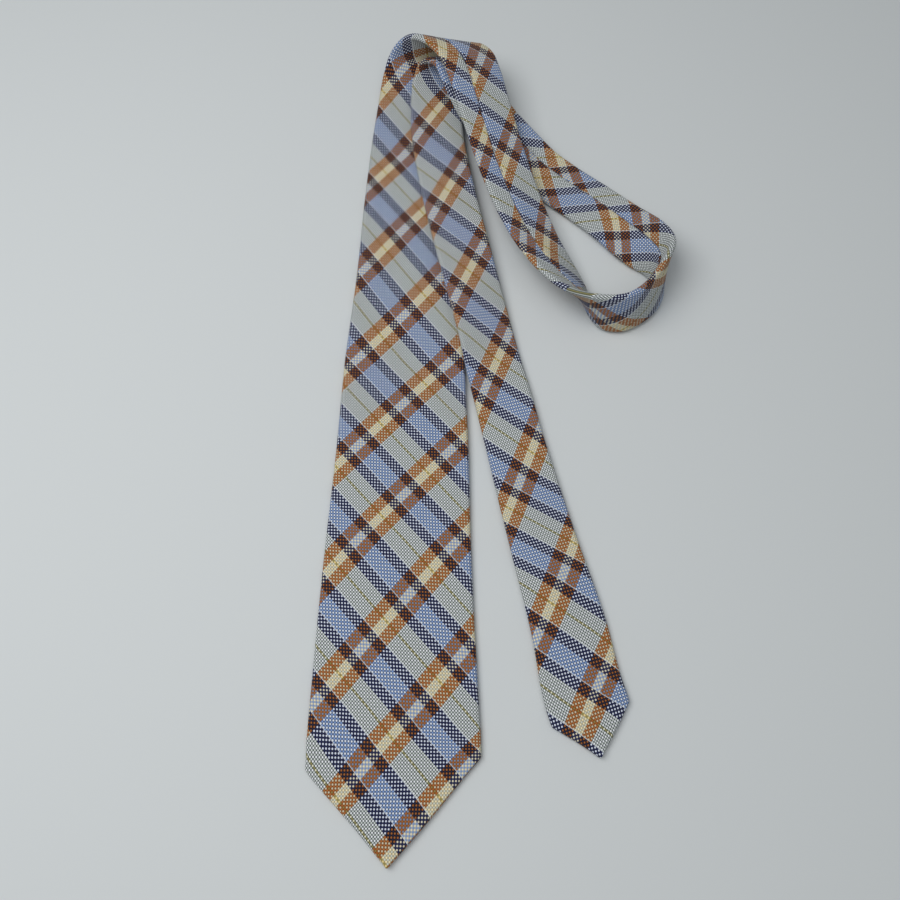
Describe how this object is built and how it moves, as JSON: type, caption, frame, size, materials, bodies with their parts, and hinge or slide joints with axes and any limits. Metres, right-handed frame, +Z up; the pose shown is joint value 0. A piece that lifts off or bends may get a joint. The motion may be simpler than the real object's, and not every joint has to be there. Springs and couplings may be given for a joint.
{
  "type": "necktie",
  "caption": "Plaid cloth necktie laid flat with its blade and tail side by side and the neck end curled into a standing loop.",
  "frame": {"origin": "on the table, under the middle of the box of the laid tie", "axes": "+Z up; the blade and tail run along Y with their tips towards -Y; X runs from the blade to the tail"},
  "size_m": [0.1966, 0.4696, 0.0385],
  "materials": {
    "plaid_cloth": "bias cut basket weave plaid in grey, blue, navy, rust and cream, matt with a faint sheen",
    "interlining_wool": "brushed off-white wool",
    "tipping_cloth": "plain dark blue satin lining",
    "sewing_thread": "grey blue sewing thread",
    "label_tape": "plain woven tape, blank"
  },
  "bodies": {
    "root": {"blade_shell": "plaid_cloth", "neck_shell": "plaid_cloth", "tail_shell": "plaid_cloth", "interlining": "interlining_wool", "blade_tipping": "tipping_cloth", "tail_tipping": "tipping_cloth", "slip_stitch": "sewing_thread", "blade_bar_tack": "sewing_thread", "tail_bar_tack": "sewing_thread", "blade_hem_stitches": "sewing_thread", "tail_hem_stitches": "sewing_thread", "keeper_loop": "plaid_cloth", "keeper_stitches": "sewing_thread", "maker_label": "label_tape", "maker_label_stitches": "sewing_thread", "care_label": "label_tape", "care_label_stitches": "sewing_thread"}
  },
  "joints": []
}
